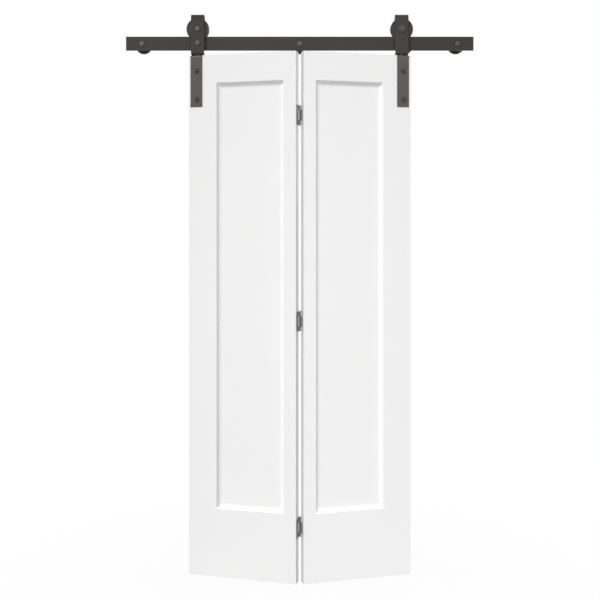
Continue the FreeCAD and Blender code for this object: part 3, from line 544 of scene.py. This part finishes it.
def screw_rings():
    """A countersunk wood screw with a cross recess."""
    sink = SCREW_HEAD_RADIUS - SCREW_RADIUS
    thread_top = SCREW_THREAD - SCREW_LENGTH
    rings = thread(SCREW_RADIUS, SCREW_THREAD_DEPTH, SCREW_PITCH, -SCREW_LENGTH, thread_top,
                   SCREW_TAPER)[1:]
    rings += [ring(SCREW_RADIUS, thread_top), ring(SCREW_RADIUS, -sink)]
    rings += [ring(SCREW_HEAD_RADIUS, -SCREW_RIM), ring(SCREW_HEAD_RADIUS - SCREW_RIM, 0)]
    floor = ring(lambda angle: SCREW_CROSS_FLOOR * cross(angle), -SCREW_CROSS_DEPTH)
    return rings + [ring(cross, 0), floor]


def add_fasteners(name, rings, places, material, body, closed=False):
    """The same ringed shape at every place, as one piece that stands for a node."""
    shape = bmesh.new()
    for place in places:
        rows = [[shape.verts.new(place @ point) for point in row] for row in rings]
        pairs = list(zip(rows, rows[1:]))
        if closed:
            pairs.append((rows[-1], rows[0]))
        else:
            shape.faces.new(reversed(rows[0]))
            shape.faces.new(rows[-1])
        for low, high in pairs:
            for here in range(RING_POINTS):
                after = (here + 1) % RING_POINTS
                shape.faces.new((low[here], low[after], high[after], high[here]))
    mesh = bpy.data.meshes.new(name)
    shape.to_mesh(mesh)
    shape.free()
    mesh.shade_smooth()
    mesh.set_sharp_from_angle(angle=CREASE)
    mesh.materials.append(material)
    piece = bpy.data.objects.new(name, mesh)
    bpy.context.scene.collection.objects.link(piece)
    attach(piece, body)
    return piece


def swap(node, rings, outward, corner, height, material, body, closed=False):
    """Modelled fasteners in the places of a node's plain ones."""
    places = seats(node, outward, corner, height)
    piece = add_fasteners(node + "_modelled", rings, places, material, body, closed)
    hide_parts(node)


def swap_bolts(node, size, outward, corner, material, body):
    """Hexagon bolts of one size, with their heads outward."""
    swap(node, bolt_rings(**size), outward, corner, size["head"], material, body)


def swap_nuts(node, size, outward, corner, material, body):
    """Nuts of one size, with their free ends outward."""
    swap(node, nut_rings(**size), outward, corner, size["height"], material, body, closed=True)


# ---- stage --------------------------------------------------------------------------
def add_floor(level):
    """A pale floor that keeps the door's shadow and melts into the white behind."""
    mesh = bpy.data.meshes.new("floor")
    outline = bmesh.new()
    bmesh.ops.create_circle(outline, cap_ends=True, segments=FLOOR_POINTS, radius=FLOOR_RADIUS)
    outline.to_mesh(mesh)
    outline.free()
    floor = bpy.data.objects.new("floor", mesh)
    floor.location = (0, 0, level)
    bpy.context.scene.collection.objects.link(floor)
    finish = new_finish("pale_floor")
    lit = finish.node("ShaderNodeBsdfDiffuse", {}, {"Color": colour(FLOOR_COLOUR)})
    glow = finish.node("ShaderNodeEmission", {}, {"Color": colour(WHITE), "Strength": 1.0})
    seen = finish.node("ShaderNodeLightPath", output="Is Camera Ray")
    mirrored = finish.node("ShaderNodeLightPath", output="Is Glossy Ray")
    away = finish.node("ShaderNodeVectorMath", {"operation": "LENGTH"}, {0: finish.place()},
                       "Value")
    blank = finish.ramp(away * (1 / SHADOW_REACH), (SHADOW_CORE, FLOOR_GLOW), (1.0, 1.0))
    share = blank * seen + blank * mirrored
    surface = finish.node("ShaderNodeMixShader", {}, {0: share, 1: lit, 2: glow})
    finish.node("ShaderNodeOutputMaterial", {}, {"Surface": surface})
    mesh.materials.append(finish.owner)


def add_world():
    """Even light from all round; the eye and mirror-like faces see plain white."""
    world = bpy.data.worlds.new("studio")
    bpy.context.scene.world = world
    finish = Finish(world)
    seen = finish.node("ShaderNodeLightPath", output="Is Camera Ray")
    mirrored = finish.node("ShaderNodeLightPath", output="Is Glossy Ray")
    either = finish.node("ShaderNodeMath", {"operation": "MAXIMUM"}, {0: seen, 1: mirrored})
    level = ROOM_LEVEL + (1 - ROOM_LEVEL) * either
    room = finish.node("ShaderNodeBackground", {}, {"Color": colour(WHITE), "Strength": level})
    finish.node("ShaderNodeOutputWorld", {}, {"Surface": room})


def add_light(name, light, place, towards):
    """A light of any kind in the scene, pointing the given way."""
    light.cycles.use_multiple_importance_sampling = False
    lamp = bpy.data.objects.new(name, light)
    lamp.location = place
    lamp.rotation_mode = "QUATERNION"
    lamp.rotation_quaternion = towards.to_track_quat("-Z", "Y")
    bpy.context.scene.collection.objects.link(lamp)
    return lamp


def add_lamp(name, target, place, size, power):
    """A soft square lamp that points at the target."""
    light = bpy.data.lights.new(name, "AREA")
    light.shape = "SQUARE"
    light.size = size
    light.energy = power
    add_light(name, light, place, target - place)


def group(name, pieces):
    """A collection of pieces that a light is linked to."""
    made = bpy.data.collections.new(name)
    for piece in pieces:
        made.objects.link(piece)
    return made


def add_key(name, turn, aim, lit, casting):
    """A broad sun at the upper left of a face, with what it lights and what shades it."""
    left_of_face, height, strength = aim
    light = bpy.data.lights.new(name, "SUN")
    light.energy = strength
    light.angle = KEY_SPREAD
    bearing = turn - left_of_face
    along = math.cos(height)
    to_key = Vector((along * math.sin(bearing), -along * math.cos(bearing), math.sin(height)))
    lamp = add_light(name, light, KEY_PLACE, -to_key)
    lamp.light_linking.receiver_collection = group(name + "_lights", lit)
    lamp.light_linking.blocker_collection = group(name + "_shadows", casting)


def carried_by(*bodies, without=()):
    """Every piece that rides on one of the bodies, apart from the named ones."""
    empties = [frame["bodies"][body] for body in bodies]
    return [piece for piece in bpy.data.objects
            if piece.type == "MESH" and piece.parent in empties and piece.name not in without]


def add_camera():
    """A level camera, so upright lines stay upright; its shift lowers the frame instead."""
    data = bpy.data.cameras.new("camera")
    data.sensor_width = SENSOR
    data.lens = FOCAL_LENGTH / IMAGE_SIZE * SENSOR
    data.shift_y = (HORIZON_ROW - IMAGE_SIZE / 2) / IMAGE_SIZE
    camera = bpy.data.objects.new("camera", data)
    camera.location = EYE
    camera.rotation_mode = "QUATERNION"
    camera.rotation_quaternion = BACKWARD.to_track_quat("-Z", "Y")
    bpy.context.scene.collection.objects.link(camera)
    bpy.context.scene.camera = camera


# ---- the finishes in use ------------------------------------------------------------
paint = leaf_paint()
edge_white = edge_paint("edge_paint", (0.86, 0.86, 0.855))
# the darker white on the right leaf's hinge edge is painted shade, as if the left leaf shaded it
painted_shade_edge_white = edge_paint("thin_edge_paint", (0.65, 0.65, 0.645))
hinge_edge_white_and_shade = {"left": edge_white, "right": painted_shade_edge_white}
rail_coat = powder_coat("rail_coat", (0.0350, 0.0330, 0.0315))
# the rolling hanger's coat is lighter than the fixed one's: painted light, standing in for more
# light on the right
hanger_coats_and_light = {"fixed": powder_coat("fixed_hanger_coat", (0.0355, 0.0325, 0.0315)),
                "rolling": powder_coat("rolling_hanger_coat", (0.0430, 0.0400, 0.0385))}
# the right strap's coat is a shade lighter than the left's: painted light that evens out how the
# two straps are lit
strap_coats_and_light = {"left": powder_coat("left_strap_coat", (0.090, 0.083, 0.081)),
               "right": powder_coat("right_strap_coat", (0.098, 0.092, 0.090))}
wheel_coat = powder_coat("wheel_coat", (0.046, 0.043, 0.042), dullness=0.42)
bolt_metal = oxide("pale_oxide", (0.090, 0.081, 0.079))
axle_metal = oxide("brown_oxide", (0.078, 0.073, 0.068))
strap_bolt_metal = oxide("grey_oxide", (0.054, 0.050, 0.048))
# the near-black washers are painted shade, a dark ring where the bolt heads' shadows fall
strap_washer_painted_shade = oxide("dark_oxide", (0.015, 0.014, 0.013))
zinc = zinc_plate("zinc_plate", (0.25, 0.25, 0.245))
dark_zinc = zinc_plate("dark_zinc_plate", (0.22, 0.22, 0.216))
steel = ground_steel()
nylon = black_nylon()
board = brown_board()


# ---- the door's sub-parts -----------------------------------------------------------
def dress_track():
    """The rail on its wall spacers, with the washers and sleeves on its bolts."""
    dress("track_rail", rail_coat, RAIL_ROUNDING)
    dress("wall_spacers", rail_coat)
    fixings = ["lag_washers", "fixing_sleeve", "fixing_washer", "fixed_axle_sleeve"]
    dress_all(fixings, bolt_metal)


def dress_hanger(hanger):
    """A strap hanger with its wheel, bearing, axle and swivel."""
    # the rolling hanger's lighter coat is painted light
    dress(hanger + "_hanger_strap", hanger_coats_and_light[hanger], STRAP_ROUNDING)
    dress(hanger + "_wheel", wheel_coat)
    dress_all([hanger + part for part in ("_axle_spacers", "_pivot_rivet")], bolt_metal)
    bearing = ("_bearing_inner_ring", "_bearing_outer_ring", "_bearing_balls")
    dress_all([hanger + part for part in bearing], steel)
    dress(hanger + "_pivot_washer", nylon)


def dress_leaf(side):
    """A leaf with the bracket that hangs it."""
    leaf = side + "_leaf_"
    dress_all([leaf + "front_skin", leaf + "back_skin"], paint)
    dress_all([leaf + part for part in ("outer_stile", "top_rail", "bottom_rail")], edge_white)
    # the right leaf's hinge edge takes the darker white, which is painted shade
    dress(leaf + "hinge_stile", hinge_edge_white_and_shade[side])
    dress(leaf + "honeycomb_core", board)
    # the right strap's lighter coat is painted light
    dress(leaf + "strap", strap_coats_and_light[side], STRAP_ROUNDING)
    # the washers' near-black is painted shade under the bolt heads
    dress(leaf + "strap_washers", strap_washer_painted_shade, WASHER_ROUNDING)


def dress_hinges():
    """The plates on both leaves, and the pins between them."""
    for hinge in HINGES:
        dress(hinge + "_hinge_outer_plate", zinc)
        dress(hinge + "_hinge_inner_plate", dark_zinc)
    dress("hinge_pins", dark_zinc)


def fit_leaf_fasteners(side):
    """The bracket's through bolts with their nuts, and the screws in the leaf's hinge edge."""
    face = LEAF_FACE[side]
    leaf = side + "_leaf"
    swap_bolts(leaf + "_strap_bolts", STRAP_BOLT, face, UP, strap_bolt_metal, leaf)
    swap_nuts(leaf + "_strap_nuts", STRAP_NUT, -face, UP, strap_bolt_metal, leaf)
    swap(side + "_hinge_screws", screw_rings(), HINGE_EDGE[side], UP, 0, zinc, leaf)


def fit_rail_fasteners():
    """The lag bolts, and the bolts and nuts of the hanger that is fixed to the rail."""
    swap("lag_bolts", lag_rings(**LAG_BOLT), FORWARD, ACROSS, LAG_BOLT["head"],
         bolt_metal, "track")
    swap_bolts("fixing_bolt", FIXING_BOLT, FORWARD, ACROSS, bolt_metal, "track")
    swap_nuts("fixing_nut", FIXING_NUT, BACKWARD, ACROSS, bolt_metal, "track")
    swap_bolts("fixed_axle_bolt", FIXED_AXLE, FORWARD, ACROSS, bolt_metal, "track")
    swap_nuts("fixed_axle_nut", FIXED_AXLE_NUT, BACKWARD, ACROSS, bolt_metal, "track")


def fit_rolling_axle():
    """The rolling wheel's axle bolt, with its nut in front."""
    swap_bolts("rolling_axle_bolt", ROLLING_AXLE, BACKWARD, UP, axle_metal, "trolley")
    swap_nuts("rolling_axle_nut", ROLLING_AXLE_NUT, FORWARD, UP, axle_metal, "trolley")


def light_door(middle):
    """A key for each leaf at the same angle to its face, one for the hardware, and two lamps.

    The brackets cast no shadow in the leaves' keys, so none falls beside them.
    """
    hardware = carried_by("track", "trolley", "fixed_wheel", "rolling_wheel")
    for side, turn in (("left", -LEAF_TURN), ("right", LEAF_TURN)):
        leaf = side + "_leaf"
        casting = carried_by(leaf, without=[leaf + "_strap"]) + hardware
        add_key(side + "_key", turn, LEAF_KEY, carried_by(leaf), casting)
    add_key("rail_key", 0, RAIL_KEY, hardware, hardware)
    add_lamp("front_lamp", middle, *FRONT_LAMP)
    add_lamp("back_lamp", middle, *BACK_LAMP)


# ---- put it together ----------------------------------------------------------------
dress_track()
for hanger in HANGERS:
    dress_hanger(hanger)
for side in SIDES:
    dress_leaf(side)
dress_hinges()

for side in SIDES:
    fit_leaf_fasteners(side)
fit_rail_fasteners()
fit_rolling_axle()

leaf_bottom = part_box("left_leaf_front_skin")[0].z
add_floor(leaf_bottom - FLOOR_GAP)
add_world()
light_door(Vector((0, LAMPS_AIM_DEPTH, leaf_bottom / 2)))
add_camera()

bpy.context.scene.view_settings.view_transform = "Standard"
